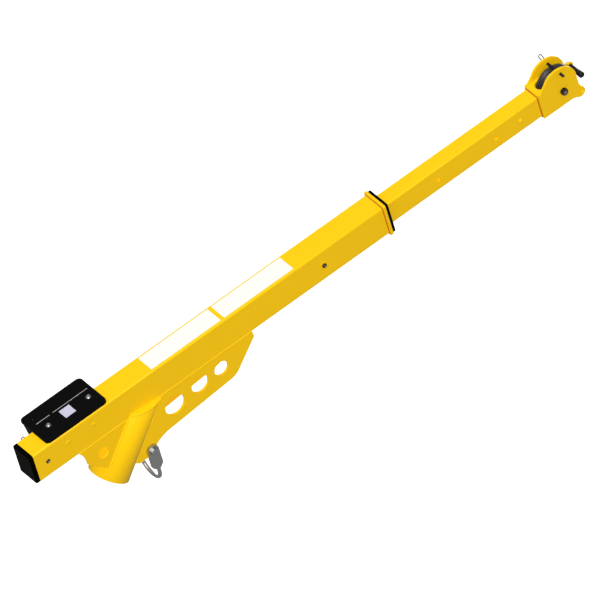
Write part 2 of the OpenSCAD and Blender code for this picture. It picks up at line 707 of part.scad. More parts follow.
module axle_spacers() color(steel) on_boom() for (side = [-1, 1]) {
    y0 = side > 0 ? sheave_w / 2 + slide_gap : -inner_half_w;
    difference() {
        cross_rod(axle_x, axle_up, axle_d / 2 + 4, y0, y0 + inner_half_w - sheave_w / 2 - slide_gap);
        cross_rod(axle_x, axle_up, axle_d / 2 + bolt_gap, y0 - 1, y0 + inner_half_w);
    }
}

axle_washer_t = 3;

module axle_bolt() color(black) on_boom() {
    cross_rod(axle_x, axle_up, axle_d / 2, -cheek_out - axle_washer_t, cheek_out + axle_washer_t + 13);
    cross_hex(axle_x, axle_up, 1.5 * axle_d, -cheek_out - axle_washer_t - 7.5, -cheek_out - axle_washer_t);
}

module axle_washers() color(black) on_boom() for (y0 = [-cheek_out - axle_washer_t, cheek_out]) difference() {
    cross_rod(axle_x, axle_up, axle_d / 2 + 4.5, y0, y0 + axle_washer_t);
    cross_rod(axle_x, axle_up, axle_d / 2 + bolt_gap, y0 - 1, y0 + axle_washer_t + 1);
}

module axle_nut() color(steel) on_boom() difference() {
    cross_hex(axle_x, axle_up, 1.5 * axle_d, cheek_out + axle_washer_t, cheek_out + axle_washer_t + 10);
    cross_rod(axle_x, axle_up, axle_d / 2, cheek_out, cheek_out + axle_washer_t + 11);
}

// Guide roller: tapered, blind at its free end, on a pin in the far cheek

roller_far_y = inner_half_w - slide_gap;

module guide_roller() color(black) on_boom() translate([roller_x, roller_far_y, roller_z]) rotate([90, 0, 0])
    rotate_extrude($fn = 64) difference() {
        round_r = 3;
        union() {
            polygon([[0, 0], [roller_r - 2, 0], [roller_r - 1.6, roller_len / 2], [roller_r, roller_len - 9],
                [roller_r, roller_len - round_r], [roller_r - round_r, roller_len], [0, roller_len]]);
            translate([roller_r - round_r, roller_len - round_r]) circle(r = round_r, $fn = 32);
        }
        translate([-1, -1]) square([1 + roller_pin_d / 2 + pin_gap, roller_len - 5]);
        translate([-far, 0]) square([far, far]);
    }

module roller_pin() color(steel) on_boom() {
    cross_rod(roller_x, roller_z, roller_pin_d / 2, roller_far_y - roller_len + 7, cheek_out + 9);
    cross_rod(roller_x, roller_z, roller_pin_d / 2 + 2, inner_half_w - 0.1, inner_half_w);
}

module roller_nut() color(steel) on_boom() difference() {
    cross_hex(roller_x, roller_z, 13, cheek_out, cheek_out + 6.5);
    cross_rod(roller_x, roller_z, roller_pin_d / 2, cheek_out - 1, cheek_out + 8);
}

outer_tube();
rear_cap();
end_collar();
wiper_gasket();
gasket_screws();
front_guide();
mast_sleeve();
sleeve_top_plates();
mast_liner();
thrust_pad();
mast_stop_plate();
rear_gusset_near();
rear_gusset_far();
front_gusset_near();
front_gusset_far();
bracket_plate();
bracket_side_plate();
bracket_end_gusset_rear();
bracket_end_gusset_front();
bracket_top_bolts();
bracket_top_nuts();
bracket_side_bolts();
bracket_side_nuts();
label_rear();
label_front();
tag_label();
plunger_bush();
lock_plunger();
rear_pin();
rear_pin_loop();
bail();
bail_bolt();
bail_nut();
bail_spacer();
inner_tube();
rear_slider();
slider_screws();
head_core();
cheek_near();
cheek_far();
head_bolt();
head_nut();
sheave();
sheave_bush();
axle_spacers();
axle_bolt();
axle_washers();
axle_nut();
keeper_pin();
keeper_pin_loop();
guide_roller();
roller_pin();
roller_nut();
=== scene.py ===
# Telescoping davit arm: finishes, weld beads, dressed fasteners and a plain studio
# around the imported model.
import math

import bpy
from mathutils import Matrix, Vector
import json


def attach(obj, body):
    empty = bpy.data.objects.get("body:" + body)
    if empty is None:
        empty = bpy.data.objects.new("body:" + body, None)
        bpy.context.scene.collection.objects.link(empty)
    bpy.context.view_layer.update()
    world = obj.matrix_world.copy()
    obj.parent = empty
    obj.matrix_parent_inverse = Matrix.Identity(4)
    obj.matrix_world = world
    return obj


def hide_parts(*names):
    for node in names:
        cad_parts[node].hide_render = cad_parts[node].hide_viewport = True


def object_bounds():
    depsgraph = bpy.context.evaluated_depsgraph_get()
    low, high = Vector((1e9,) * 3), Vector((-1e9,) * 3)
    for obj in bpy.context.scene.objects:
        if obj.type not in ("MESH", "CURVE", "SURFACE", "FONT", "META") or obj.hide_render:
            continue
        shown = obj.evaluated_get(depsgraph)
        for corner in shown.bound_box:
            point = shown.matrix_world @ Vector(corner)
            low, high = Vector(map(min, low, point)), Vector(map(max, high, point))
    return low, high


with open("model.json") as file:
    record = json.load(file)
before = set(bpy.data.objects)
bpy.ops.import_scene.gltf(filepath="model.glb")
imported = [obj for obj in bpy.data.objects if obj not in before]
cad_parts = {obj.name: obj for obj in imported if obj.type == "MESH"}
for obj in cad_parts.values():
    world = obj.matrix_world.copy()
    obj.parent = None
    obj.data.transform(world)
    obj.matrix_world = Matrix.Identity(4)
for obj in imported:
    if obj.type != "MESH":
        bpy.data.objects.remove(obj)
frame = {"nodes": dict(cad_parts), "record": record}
nodes = frame["nodes"]
cadLow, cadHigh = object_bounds()
scene = bpy.context.scene
millimetre = 0.001
print("frame loaded:", len(nodes), "nodes")

# The boom's own axes: x along the boom from its tail, y to the far side, z to its top face.
# Its tail is in metres and its sizes are in millimetres, each place as (along, up).
boom = {
    "rise": math.radians(40),
    "tail": (-0.298080, 0, 0.030846),
    "halfWidth": 37.5,
    "halfHeight": 49,
    "innerHalfWidth": 25,
    "innerHalfHeight": 36.5,
    "rearPin": (38, 0),
    "accessHoles": ((109, 14), (196, 14)),
    "bail": (331, -194),
    "lockHoles": ((967, 0), (1165, 0), (1363, 0), (1561, 0)),
    "headBolt": (1645, 0),
    "axle": (1787, 5.5),
    "keeper": (1793, 66),
    "roller": (1854.5, 8.5),
}
boomFrame = Matrix.Translation(boom["tail"]) @ Matrix.Rotation(-boom["rise"], 4, "Y")


def onBoom(station, side, height):
    # A point given in the boom's axes and millimetres, as a place in the scene
    return boomFrame @ Vector((station * millimetre, side * millimetre, height * millimetre))


def acrossBoom(station, height):
    # Turns a piece that was made along z so that it runs across the boom, from near to far
    return boomFrame @ Matrix.Translation((station * millimetre, 0, height * millimetre)) \
        @ Matrix.Rotation(math.radians(-90), 4, "X")


# Camera and light

camera = {
    "lens": 1500,
    "sensor": 36,
    "target": (0.44686, 0.00200, 0.52592),
    "imageWidth": 1.5805,
    "right": (0.73382, -0.59077, 0.33540),
    "down": (0.01281, -0.48159, -0.87630),
    "clipStart": 1,
    "clipEnd": 4,  # in camera distances
}


def addCamera():
    data = bpy.data.cameras.new("photoCamera")
    data.lens = camera["lens"]
    data.sensor_width = camera["sensor"]
    holder = bpy.data.objects.new("photoCamera", data)
    scene.collection.objects.link(holder)
    right = Vector(camera["right"]).normalized()
    up = -Vector(camera["down"])
    back = right.cross(up).normalized()
    up = back.cross(right)
    distance = camera["imageWidth"] * camera["lens"] / camera["sensor"]
    turn = Matrix((right, up, back)).transposed().to_4x4()
    holder.matrix_world = Matrix.Translation(Vector(camera["target"]) + back * distance) @ turn
    data.clip_start = camera["clipStart"]
    data.clip_end = camera["clipEnd"] * distance
    scene.camera = holder


addCamera()

studio = {
    "worldColour": (1.0, 1.0, 1.0),
    "worldStrength": 0.38,
    "floorGap": 0.35,
    "floorSize": 60,
    "floorColour": (0.35, 0.35, 0.35),
    "floorRoughness": 0.9,
    "floorGlow": 1.0,
}

# Wide soft suns: where each comes from, its spread in degrees, its strength and its colour
softLights = {
    "keyLight": {"direction": (-0.75, -0.30, 0.55), "spread": 40, "strength": 1.3,
                 "colour": (1, 1, 1), "castsShadow": False},
    "fillLight": {"direction": (-0.68, -0.648, 0.346), "spread": 30, "strength": 1.75,
                  "colour": (1, 0.87, 0.72), "castsShadow": False},
    "backLight": {"direction": (0.55, 0.80, 0.15), "spread": 40, "strength": 1.6,
                  "colour": (1, 0.97, 0.92), "castsShadow": True},
}


def addSoftLight(name, light):
    data = bpy.data.lights.new(name, "SUN")
    data.energy = light["strength"]
    data.angle = math.radians(light["spread"])
    data.color = light["colour"]
    data.use_shadow = light["castsShadow"]
    lamp = bpy.data.objects.new(name, data)
    scene.collection.objects.link(lamp)
    away = Vector(light["direction"]).normalized()
    lamp.matrix_world = away.to_track_quat("Z", "Y").to_matrix().to_4x4()


def buildStudio():
    world = bpy.data.worlds.new("paleStudio")
    scene.world = world
    world.use_nodes = True
    background = world.node_tree.nodes["Background"]
    background.inputs["Color"].default_value = (*studio["worldColour"], 1)
    background.inputs["Strength"].default_value = studio["worldStrength"]
    for name, light in softLights.items():
        addSoftLight(name, light)
    bpy.ops.mesh.primitive_plane_add(size=studio["floorSize"],
                                     location=(0, 0, cadLow.z - studio["floorGap"]))
    floor = bpy.context.object
    floor.name = "studioFloor"
    paper = bpy.data.materials.new("palePaper")
    paper.use_nodes = True
    shader = paper.node_tree.nodes["Principled BSDF"]
    shader.inputs["Base Color"].default_value = (*studio["floorColour"], 1)
    shader.inputs["Roughness"].default_value = studio["floorRoughness"]
    # The paper glows for the camera alone, so that it reads white and throws no extra light
    ray = paper.node_tree.nodes.new("ShaderNodeLightPath")
    glow = paper.node_tree.nodes.new("ShaderNodeMath")
    glow.operation = "MULTIPLY"
    glow.inputs[1].default_value = studio["floorGlow"]
    paper.node_tree.links.new(ray.outputs["Is Camera Ray"], glow.inputs[0])
    paper.node_tree.links.new(glow.outputs[0], shader.inputs["Emission Strength"])
    shader.inputs["Emission Color"].default_value = (1, 1, 1, 1)
    floor.data.materials.append(paper)
    scene.view_settings.view_transform = "Standard"


buildStudio()
print("studio ready")


# Materials: small helpers, in which a source is a socket or a plain value

def newNode(tree, kind, values=None, **settings):
    made = tree.nodes.new(kind)
    for key, value in settings.items():
        setattr(made, key, value)
    for key, value in (values or {}).items():
        made.inputs[key].default_value = value
    return made


def feed(tree, socket, source):
    if isinstance(source, bpy.types.NodeSocket):
        tree.links.new(source, socket)
    else:
        socket.default_value = source


def compute(tree, operation, *sources):
    made = newNode(tree, "ShaderNodeMath", operation=operation)
    for index, source in enumerate(sources):
        feed(tree, made.inputs[index], source)
    return made.outputs[0]


def addNoise(tree, place, scale, detail):
    made = newNode(tree, "ShaderNodeTexNoise", {"Detail": detail})
    tree.links.new(place, made.inputs["Vector"])
    feed(tree, made.inputs["Scale"], scale)
    return made.outputs["Fac"]


def rerange(tree, value, fromMin, fromMax, toMin=0.0, toMax=1.0):
    made = newNode(tree, "ShaderNodeMapRange")
    for label, source in (("Value", value), ("From Min", fromMin), ("From Max", fromMax),
                          ("To Min", toMin), ("To Max", toMax)):
        feed(tree, made.inputs[label], source)
    return made.outputs[0]


def shiftPlace(tree, place, values, kind="POINT"):
    made = newNode(tree, "ShaderNodeMapping", values, vector_type=kind)
    tree.links.new(place, made.inputs["Vector"])
    return made.outputs["Vector"]


mixSockets = {"factor": 0, "base": 6, "top": 7, "result": 2}  # of a Mix node that mixes colours


def mixColour(tree, base, top, factor, blend="MIX"):
    made = newNode(tree, "ShaderNodeMix", data_type="RGBA", blend_type=blend)
    feed(tree, made.inputs[mixSockets["factor"]], factor)
    for key, source in (("base", base), ("top", top)):
        plain = not isinstance(source, bpy.types.NodeSocket)
        feed(tree, made.inputs[mixSockets[key]], (*source, 1) if plain else source)
    return made.outputs[mixSockets["result"]]


def newGroup(name, inputs, outputs):
    group = bpy.data.node_groups.new(name, "ShaderNodeTree")
    for label, kind, default in inputs:
        socket = group.interface.new_socket(name=label, in_out="INPUT", socket_type=kind)
        socket.default_value = default
    for label, kind in outputs:
        group.interface.new_socket(name=label, in_out="OUTPUT", socket_type=kind)
    return group, group.nodes.new("NodeGroupInput"), group.nodes.new("NodeGroupOutput")


coatPattern = {"middle": 0.5, "peelDetail": 2.0, "shadeScale": 9.0, "shadeDetail": 3.0,
               "patchScale": 45.0, "patchDetail": 4.0}


def makeCoatGroup():
    # Fine orange peel, slow shade changes and a rough or smooth patchiness
    group, given, made = newGroup("coatSurface", [
        ("Position", "NodeSocketVector", (0, 0, 0)), ("Peel size", "NodeSocketFloat", 0.003),
        ("Shade spread", "NodeSocketFloat", 0.05), ("Base roughness", "NodeSocketFloat", 0.35),
        ("Roughness spread", "NodeSocketFloat", 0.1)],
        [("Height", "NodeSocketFloat"), ("Shade", "NodeSocketFloat"),
         ("Roughness", "NodeSocketFloat")])
    place = given.outputs["Position"]
    peelScale = compute(group, "DIVIDE", 1.0, given.outputs["Peel size"])
    peel = addNoise(group, place, peelScale, coatPattern["peelDetail"])
    group.links.new(peel, made.inputs["Height"])
    slow = addNoise(group, place, coatPattern["shadeScale"], coatPattern["shadeDetail"])
    shade = compute(group, "MULTIPLY_ADD", compute(group, "SUBTRACT", slow, coatPattern["middle"]),
                    given.outputs["Shade spread"], 1.0)
    group.links.new(shade, made.inputs["Shade"])
    patches = addNoise(group, place, coatPattern["patchScale"], coatPattern["patchDetail"])
    rough = compute(group, "MULTIPLY_ADD",
                    compute(group, "SUBTRACT", patches, coatPattern["middle"]),
                    given.outputs["Roughness spread"], given.outputs["Base roughness"])
    group.links.new(rough, made.inputs["Roughness"])
    return group


coatGroup = makeCoatGroup()
edgePattern = {"reach": 0.004, "speckleScale": 120.0, "speckleDetail": 5.0, "bareFrom": 0.45,
               "bareTo": 0.65}


def makeTubeEdgeGroup():
    # Marks the long edges of a rectangular tube, broken up by noise, in the boom's own axes
    group, given, made = newGroup("tubeEdgeWear", [
        ("Position", "NodeSocketVector", (0, 0, 0)), ("Half width", "NodeSocketFloat", 0.0375),
        ("Half height", "NodeSocketFloat", 0.049),
        ("Reach", "NodeSocketFloat", edgePattern["reach"]), ("Amount", "NodeSocketFloat", 0.3)],
        [("Mask", "NodeSocketFloat")])
    place = given.outputs["Position"]
    parts = newNode(group, "ShaderNodeSeparateXYZ")
    along = shiftPlace(group, place, {"Location": boom["tail"], "Rotation": (0, -boom["rise"], 0)},
                       kind="TEXTURE")
    group.links.new(along, parts.inputs[0])
    sides = []
    for axis, size in (("Y", "Half width"), ("Z", "Half height")):
        out = compute(group, "ABSOLUTE", parts.outputs[axis])
        start = compute(group, "SUBTRACT", given.outputs[size], given.outputs["Reach"])
        sides.append(rerange(group, out, start, given.outputs[size]))
    speckle = addNoise(group, place, edgePattern["speckleScale"], edgePattern["speckleDetail"])
    broken = rerange(group, speckle, edgePattern["bareFrom"], edgePattern["bareTo"])
    worn = compute(group, "MULTIPLY", compute(group, "MULTIPLY", *sides), broken)
    mask = compute(group, "MULTIPLY", worn, given.outputs["Amount"])
    group.links.new(mask, made.inputs["Mask"])
    return group


tubeEdgeGroup = makeTubeEdgeGroup()


# Each finish: colour, how rough and how patchy it is, its orange peel, its bump and its gloss.
# A finish without its own slot in the record names the slot it belongs to.
finishes = {
    "yellow_paint": {"colour": (0.947, 0.605, 0.005), "roughness": 0.36, "spread": 0.10,
                     "shade": 0.05, "peel": 0.0022, "bump": 0.05, "gloss": 0.12},
    "black_paint": {"colour": (0.003, 0.003, 0.0035), "roughness": 0.40, "spread": 0.12,
                    "shade": 0.25, "peel": 0.0018, "bump": 0.08, "gloss": 0.035},
    "black_plastic": {"colour": (0.0012, 0.0012, 0.0011), "roughness": 0.42, "spread": 0.1,
                      "shade": 0.2, "peel": 0.0009, "bump": 0.12, "gloss": 0.012},
    "sheave_plastic": {"colour": (0.012, 0.012, 0.014), "roughness": 0.34, "spread": 0.12,
                       "shade": 0.2, "peel": 0.0014, "bump": 0.05, "gloss": 0.5},
    "rubber": {"colour": (0.002, 0.002, 0.002), "roughness": 0.7, "spread": 0.1,
               "shade": 0.2, "peel": 0.0012, "bump": 0.15, "gloss": 0.03},
    "zinc_steel": {"colour": (0.46, 0.48, 0.50), "roughness": 0.36, "spread": 0.2,
                   "shade": 0.15, "peel": 0.0025, "bump": 0.03, "gloss": 0.5, "metal": 1.0},
    "black_steel": {"colour": (0.045, 0.048, 0.055), "roughness": 0.30, "spread": 0.15,
                    "shade": 0.2, "peel": 0.002, "bump": 0.04, "gloss": 0.5, "metal": 1.0},
    # The core of bolt_head is a lighter blue-grey spot painted on the bolt's end: a painted
    # highlight
    "bolt_head": {"colour": (0.045, 0.048, 0.055), "roughness": 0.34, "spread": 0.15,
                  "shade": 0.2, "peel": 0.002, "bump": 0.04, "gloss": 0.5, "metal": 1.0,
                  "slot": "black_steel",
                  "core": {"at": boom["axle"], "radius": 6.2, "colour": (0.33, 0.36, 0.42)}},
    # A dark orange-brown paint for the beads at the collar and the head: painted shade in those
    # joints
    "painted_shade_joint": {"colour": (0.50, 0.17, 0.012), "roughness": 0.5, "spread": 0.10,
                    "shade": 0.15, "peel": 0.0022, "bump": 0.08, "gloss": 0.08,
                    "slot": "yellow_paint"},
    # A light grey for thin lines along the bracket's tab edges: a painted highlight where the
    # edges catch the light
    "painted_highlight_edge": {"colour": (0.45, 0.45, 0.46), "roughness": 0.4, "spread": 0.1,
                  "shade": 0.2, "peel": 0.002, "bump": 0.05, "gloss": 0.4,
                  "slot": "black_steel"},
    "guide_nylon": {"colour": (0.74, 0.74, 0.68), "roughness": 0.5, "spread": 0.08,
                    "shade": 0.06, "peel": 0.0015, "bump": 0.06, "gloss": 0.4},
    "bronze": {"colour": (0.55, 0.33, 0.12), "roughness": 0.36, "spread": 0.15,
               "shade": 0.12, "peel": 0.002, "bump": 0.03, "gloss": 0.5, "metal": 1.0},
    "label": {"colour": (0.93, 0.93, 0.93), "roughness": 0.28, "spread": 0.05,
              "shade": 0.02, "peel": 0.006, "bump": 0.01, "gloss": 0.4},
}
bumpDistance = 0.0004


def wearEdges(tree, place, colour, wear):
    edge = newNode(tree, "ShaderNodeGroup", node_tree=tubeEdgeGroup)
    for label, value in (("Half width", wear["halfWidth"] * millimetre),
                         ("Half height", wear["halfHeight"] * millimetre),
                         ("Reach", edgePattern["reach"]), ("Amount", wear["amount"])):
        edge.inputs[label].default_value = value
    tree.links.new(place, edge.inputs["Position"])
    return mixColour(tree, colour, wear["colour"], edge.outputs["Mask"])


def turnRings(tree, place, colour, rings):
    # Turned rings round an axle that runs across the boom
    along, up = rings["at"]
    middle = shiftPlace(tree, place, {"Location": -onBoom(along, 0, up)})
    turned = newNode(tree, "ShaderNodeTexWave",
                     {"Scale": rings["scale"], "Distortion": rings["distortion"],
                      "Detail": rings["detail"]}, wave_type="RINGS", rings_direction="Y")
    tree.links.new(middle, turned.inputs["Vector"])
    faint = compute(tree, "MULTIPLY", turned.outputs["Fac"], rings["amount"])
    return mixColour(tree, colour, rings["glint"], faint, "ADD"), turned.outputs["Fac"]


streakPattern = {"stretch": 30.0, "scale": 260.0, "detail": 5.0, "from": 0.58, "to": 0.8}


def rubStreaks(tree, place, colour, roughness, streaks):
    # Long faint streaks along the boom
    along = shiftPlace(tree, place, {"Location": boom["tail"], "Rotation": (0, -boom["rise"], 0),
                                     "Scale": (streakPattern["stretch"], 1.0, 1.0)},
                       kind="TEXTURE")
    scratches = addNoise(tree, along, streakPattern["scale"], streakPattern["detail"])
    fine = rerange(tree, scratches, streakPattern["from"], streakPattern["to"],
                   toMax=streaks["amount"])
    return (mixColour(tree, colour, streaks["colour"], fine),
            compute(tree, "ADD", roughness, fine))


coreBlur = 0.9  # in millimetres, to either side of the core's radius


def paintHighlightCore(tree, place, colour, core):
    # A lighter spot painted in the middle of a dark round end: a painted highlight
    along, up = core["at"]
    offset = shiftPlace(tree, place, {"Location": -onBoom(along, 0, up), "Scale": (1, 0, 1)})
    away = newNode(tree, "ShaderNodeVectorMath", operation="LENGTH")
    tree.links.new(offset, away.inputs[0])
    highlightMask = rerange(tree, away.outputs["Value"], (core["radius"] - coreBlur) * millimetre,
                     (core["radius"] + coreBlur) * millimetre, toMin=1.0, toMax=0.0)
    return mixColour(tree, colour, core["colour"], highlightMask)


def makeFinish(title, finish, wear=None, rings=None, streaks=None):
    material = bpy.data.materials.new(title)
    material.use_nodes = True
    tree = material.node_tree
    shader = tree.nodes["Principled BSDF"]
    place = newNode(tree, "ShaderNodeTexCoord").outputs["Object"]
    coat = newNode(tree, "ShaderNodeGroup", node_tree=coatGroup)
    for label, key in (("Peel size", "peel"), ("Shade spread", "shade"),
                       ("Base roughness", "roughness"), ("Roughness spread", "spread")):
        coat.inputs[label].default_value = finish[key]
    tree.links.new(place, coat.inputs["Position"])
    grey = newNode(tree, "ShaderNodeCombineColor")
    for channel in ("Red", "Green", "Blue"):
        tree.links.new(coat.outputs["Shade"], grey.inputs[channel])
    colour = mixColour(tree, finish["colour"], grey.outputs[0], 1.0, "MULTIPLY")
    roughness = coat.outputs["Roughness"]
    height = coat.outputs["Height"]
    if wear:
        colour = wearEdges(tree, place, colour, wear)
    if rings:
        colour, height = turnRings(tree, place, colour, rings)
    if streaks:
        colour, roughness = rubStreaks(tree, place, colour, roughness, streaks)
    # Painted highlight: a lighter spot in the middle of a dark round end
    if "core" in finish:
        colour = paintHighlightCore(tree, place, colour, finish["core"])
    tree.links.new(colour, shader.inputs["Base Color"])
    tree.links.new(roughness, shader.inputs["Roughness"])
    bump = newNode(tree, "ShaderNodeBump", {"Strength": finish["bump"], "Distance": bumpDistance})
    tree.links.new(height, bump.inputs["Height"])
    tree.links.new(bump.outputs["Normal"], shader.inputs["Normal"])
    shader.inputs["Metallic"].default_value = finish.get("metal", 0.0)
    shader.inputs["Specular IOR Level"].default_value = finish["gloss"]
    return material


def varied(finish, **changes):
    return {**finishes[finish], **changes}


paleEdge = (0.96, 0.72, 0.08)
darkWire = (0.045, 0.045, 0.06)
materials = {title: makeFinish(title, finish) for title, finish in finishes.items()}

# Nodes with a finish of their own
special = {
    "outer_tube": makeFinish(
        "yellowTube", finishes["yellow_paint"],
        wear={"halfWidth": boom["halfWidth"], "halfHeight": boom["halfHeight"], "amount": 0.35,
              "colour": paleEdge}),
    "inner_tube": makeFinish(
        "yellowInnerTube", finishes["yellow_paint"],
        wear={"halfWidth": boom["innerHalfWidth"], "halfHeight": boom["innerHalfHeight"],
              "amount": 0.5, "colour": paleEdge},
        streaks={"amount": 0.25, "colour": (0.80, 0.50, 0.02)}),
    "sheave": makeFinish(
        "turnedNylon", finishes["sheave_plastic"],
        rings={"at": boom["axle"], "scale": 110.0, "distortion": 0.6, "detail": 2.0,
               "glint": (0.10, 0.10, 0.11), "amount": 0.35}),
    "bail": makeFinish("bailSteel", finishes["zinc_steel"],
                       streaks={"amount": 0.3, "colour": (0.22, 0.22, 0.23)}),
    "keeper_pin_loop": makeFinish("keeperWire", varied("zinc_steel", colour=darkWire)),
    "rear_pin_loop": makeFinish("rearWire", varied("zinc_steel", colour=darkWire)),
    "bracket_top_bolts": makeFinish(
        "polishedDome", varied("black_steel", colour=(0.34, 0.34, 0.35), roughness=0.30)),
    # The cores of the pins below are lighter spots painted on their dark ends: painted highlights
    "rear_pin": makeFinish("rearPinSteel", varied("black_steel", core={
        "at": boom["rearPin"], "radius": 2.8, "colour": (0.85, 0.85, 0.88)})),
    "lock_plunger": makeFinish("plungerSteel", varied("black_steel", core={
        "at": boom["lockHoles"][0], "radius": 2.6, "colour": (0.75, 0.72, 0.66)})),
    "keeper_pin": makeFinish("keeperSteel", varied("black_steel", core={
        "at": boom["keeper"], "radius": 1.8, "colour": (0.40, 0.38, 0.36)})),
    "guide_roller": makeFinish(
        "rollerPlastic", varied("black_plastic", colour=(0.006, 0.006, 0.007), gloss=0.35)),
    "tag_label": makeFinish("tagFilm", varied("label", colour=(0.58, 0.58, 0.76))),
}
for part in frame["record"]["subparts"]:
    mesh = nodes[part["node"]].data
    mesh.materials.clear()
    mesh.materials.append(special.get(part["node"], materials[part["material_slot"]]))
    mesh.polygons.foreach_set("material_index", [0] * len(mesh.polygons))
print("finishes ready")


# Softer edges on the nodes that stay as they are: width of the eased edge in millimetres
easedEdges = {
    "outer_tube": 0.6, "inner_tube": 0.6, "end_collar": 1.0, "wiper_gasket": 0.6,
    "rear_cap": 0.5, "cheek_near": 0.9, "cheek_far": 0.9, "head_core": 0.8,
    "front_gusset_near": 0.9, "front_gusset_far": 0.9, "rear_gusset_near": 0.9,
    "rear_gusset_far": 0.9, "bracket_plate": 1.2, "bracket_side_plate": 0.8,
    "bracket_end_gusset_rear": 0.8, "bracket_end_gusset_front": 0.8, "bail": 1.0,
    "mast_sleeve": 0.8, "sleeve_top_plates": 0.6, "sheave": 0.6, "axle_washers": 0.4,
    "bail_spacer": 0.4, "plunger_bush": 0.5, "keeper_pin": 0.4, "rear_pin": 0.4,
    "mast_liner": 0.8,
}
easing = {"mergeWithin": 1e-5, "flatWithin": 0.5, "segments": 2, "sharpFrom": 35}


def easeEdges(name, width):
    node = nodes[name]
    joined = node.modifiers.new("joined", "WELD")
    joined.merge_threshold = easing["mergeWithin"]
    planar = node.modifiers.new("planar", "DECIMATE")
    planar.decimate_type = "DISSOLVE"
    planar.angle_limit = math.radians(easing["flatWithin"])
    eased = node.modifiers.new("eased", "BEVEL")
    eased.width = width * millimetre
    eased.segments = easing["segments"]
    eased.limit_method = "ANGLE"
    eased.angle_limit = math.radians(easing["sharpFrom"])
    eased.harden_normals = True


for name, width in easedEdges.items():
    easeEdges(name, width)

# The wires read thicker in the photograph than they are in the solids, so they are shown so
wireThickening = 0.3
for name in ("keeper_pin_loop", "rear_pin_loop"):
    thicker = nodes[name].modifiers.new("thicker", "DISPLACE")
    thicker.mid_level = 0
    thicker.strength = wireThickening * millimetre
print("edges eased")


# Modelling helpers: sizes are given in millimetres, and meshes are in metres

def clearSelection():
    if bpy.context.object and bpy.context.object.mode != "OBJECT":
        bpy.ops.object.mode_set(mode="OBJECT")
    bpy.ops.object.select_all(action="DESELECT")


def takeUp(piece):
    clearSelection()
    piece.select_set(True)
    bpy.context.view_layer.objects.active = piece


def applyModifiers(piece):
    takeUp(piece)
    for modifier in list(piece.modifiers):
        bpy.ops.object.modifier_apply(modifier=modifier.name)


def bakePlace(piece):
    piece.data.transform(piece.matrix_basis)
    piece.matrix_basis = Matrix.Identity(4)


def seat(piece, name, body, finish, replaced=(), smoothAngle=35):
    bakePlace(piece)
    piece.name = name
    piece.data.name = name
    piece.data.materials.clear()
    piece.data.materials.append(materials[finish])
    takeUp(piece)
    bpy.ops.object.shade_smooth_by_angle(angle=math.radians(smoothAngle))
    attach(piece, body)
    if replaced:
        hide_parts(*replaced)
    return piece


def turnPiece(profile, sides=48):
    # A round piece raised ring by ring from a filled circle: profile holds (height, radius)
    clearSelection()
    height, radius = profile[0]
    bpy.ops.mesh.primitive_circle_add(vertices=sides, radius=radius * millimetre,
                                      fill_type="NGON", location=(0, 0, height * millimetre))
    piece = bpy.context.object
    bpy.ops.object.mode_set(mode="EDIT")
    bpy.ops.mesh.select_all(action="SELECT")
    for nextHeight, nextRadius in profile[1:]:
        step = (0, 0, (nextHeight - height) * millimetre)
        bpy.ops.mesh.extrude_region_move(TRANSFORM_OT_translate={"value": step})
        grow = nextRadius / radius
        bpy.ops.transform.resize(value=(grow, grow, 1),
                                 center_override=(0, 0, nextHeight * millimetre))
        height, radius = nextHeight, nextRadius
    bpy.ops.mesh.select_all(action="SELECT")
    bpy.ops.mesh.normals_make_consistent(inside=False)
    bpy.ops.object.mode_set(mode="OBJECT")
    bakePlace(piece)
    return piece


def combine(piece, other, operation):
    cut = piece.modifiers.new("combined", "BOOLEAN")
    cut.operation = operation
    cut.solver = "EXACT"
    cut.object = other
    applyModifiers(piece)
    bpy.data.objects.remove(other)
    return piece


def joinPieces(pieces):
    clearSelection()
    for piece in pieces:
        piece.select_set(True)
    bpy.context.view_layer.objects.active = pieces[0]
    bpy.ops.object.join()
    return bpy.context.object


# A hexagon's ends are cut by a cone: its small radius as a share of the width across flats,
# its slope in degrees, and how far the cutter stands clear of corners that stay whole
hexShape = {"faceShare": 0.475, "slope": 30, "touch": 1.001, "clear": 1.01, "overrun": 1,
            "cutterSides": 64}


def hexPiece(acrossFlats, low, high, chamferLow, chamferHigh, bore=0):
    # A hexagon between two heights, chamfered at either end if asked, with a bore if asked
    corner = acrossFlats / math.sqrt(3)
    face = hexShape["faceShare"] * acrossFlats
    drop = (corner - face) * math.tan(math.radians(hexShape["slope"]))
    over = hexShape["overrun"]
    clearSelection()
    bpy.ops.mesh.primitive_cylinder_add(vertices=6, radius=corner * millimetre,
                                        depth=(high - low) * millimetre,
                                        location=(0, 0, (low + high) / 2 * millimetre))
    piece = bpy.context.object
    bakePlace(piece)
    wide = corner * hexShape["clear"]
    near = corner * hexShape["touch"]
    profile = [(low, face)] if chamferLow else [(low - over, wide)]
    profile += [(low + drop, near), (high - drop, near)]
    profile += [(high, face)] if chamferHigh else [(high + over, wide)]
    combine(piece, turnPiece(profile, hexShape["cutterSides"]), "INTERSECT")
    if bore:
        combine(piece, turnPiece([(low - over, bore), (high + over, bore)]), "DIFFERENCE")
    return piece


threadShape = {"depth": 0.45, "tip": 0.5, "tipStep": 0.2, "endStep": 0.8}


def threadedRod(low, high, radius, threadFrom, pitch):
    # A plain shank that ends in thread crests, with a chamfered tip
    profile = [(low, radius)]
    height = threadFrom
    while height + pitch < high - threadShape["tip"]:
        profile += [(height, radius), (height + pitch / 2, radius - threadShape["depth"] * pitch)]
        height += pitch
    profile += [(high - threadShape["tip"], radius - threadShape["tipStep"]),
                (high, radius - threadShape["endStep"])]
    return turnPiece(profile)


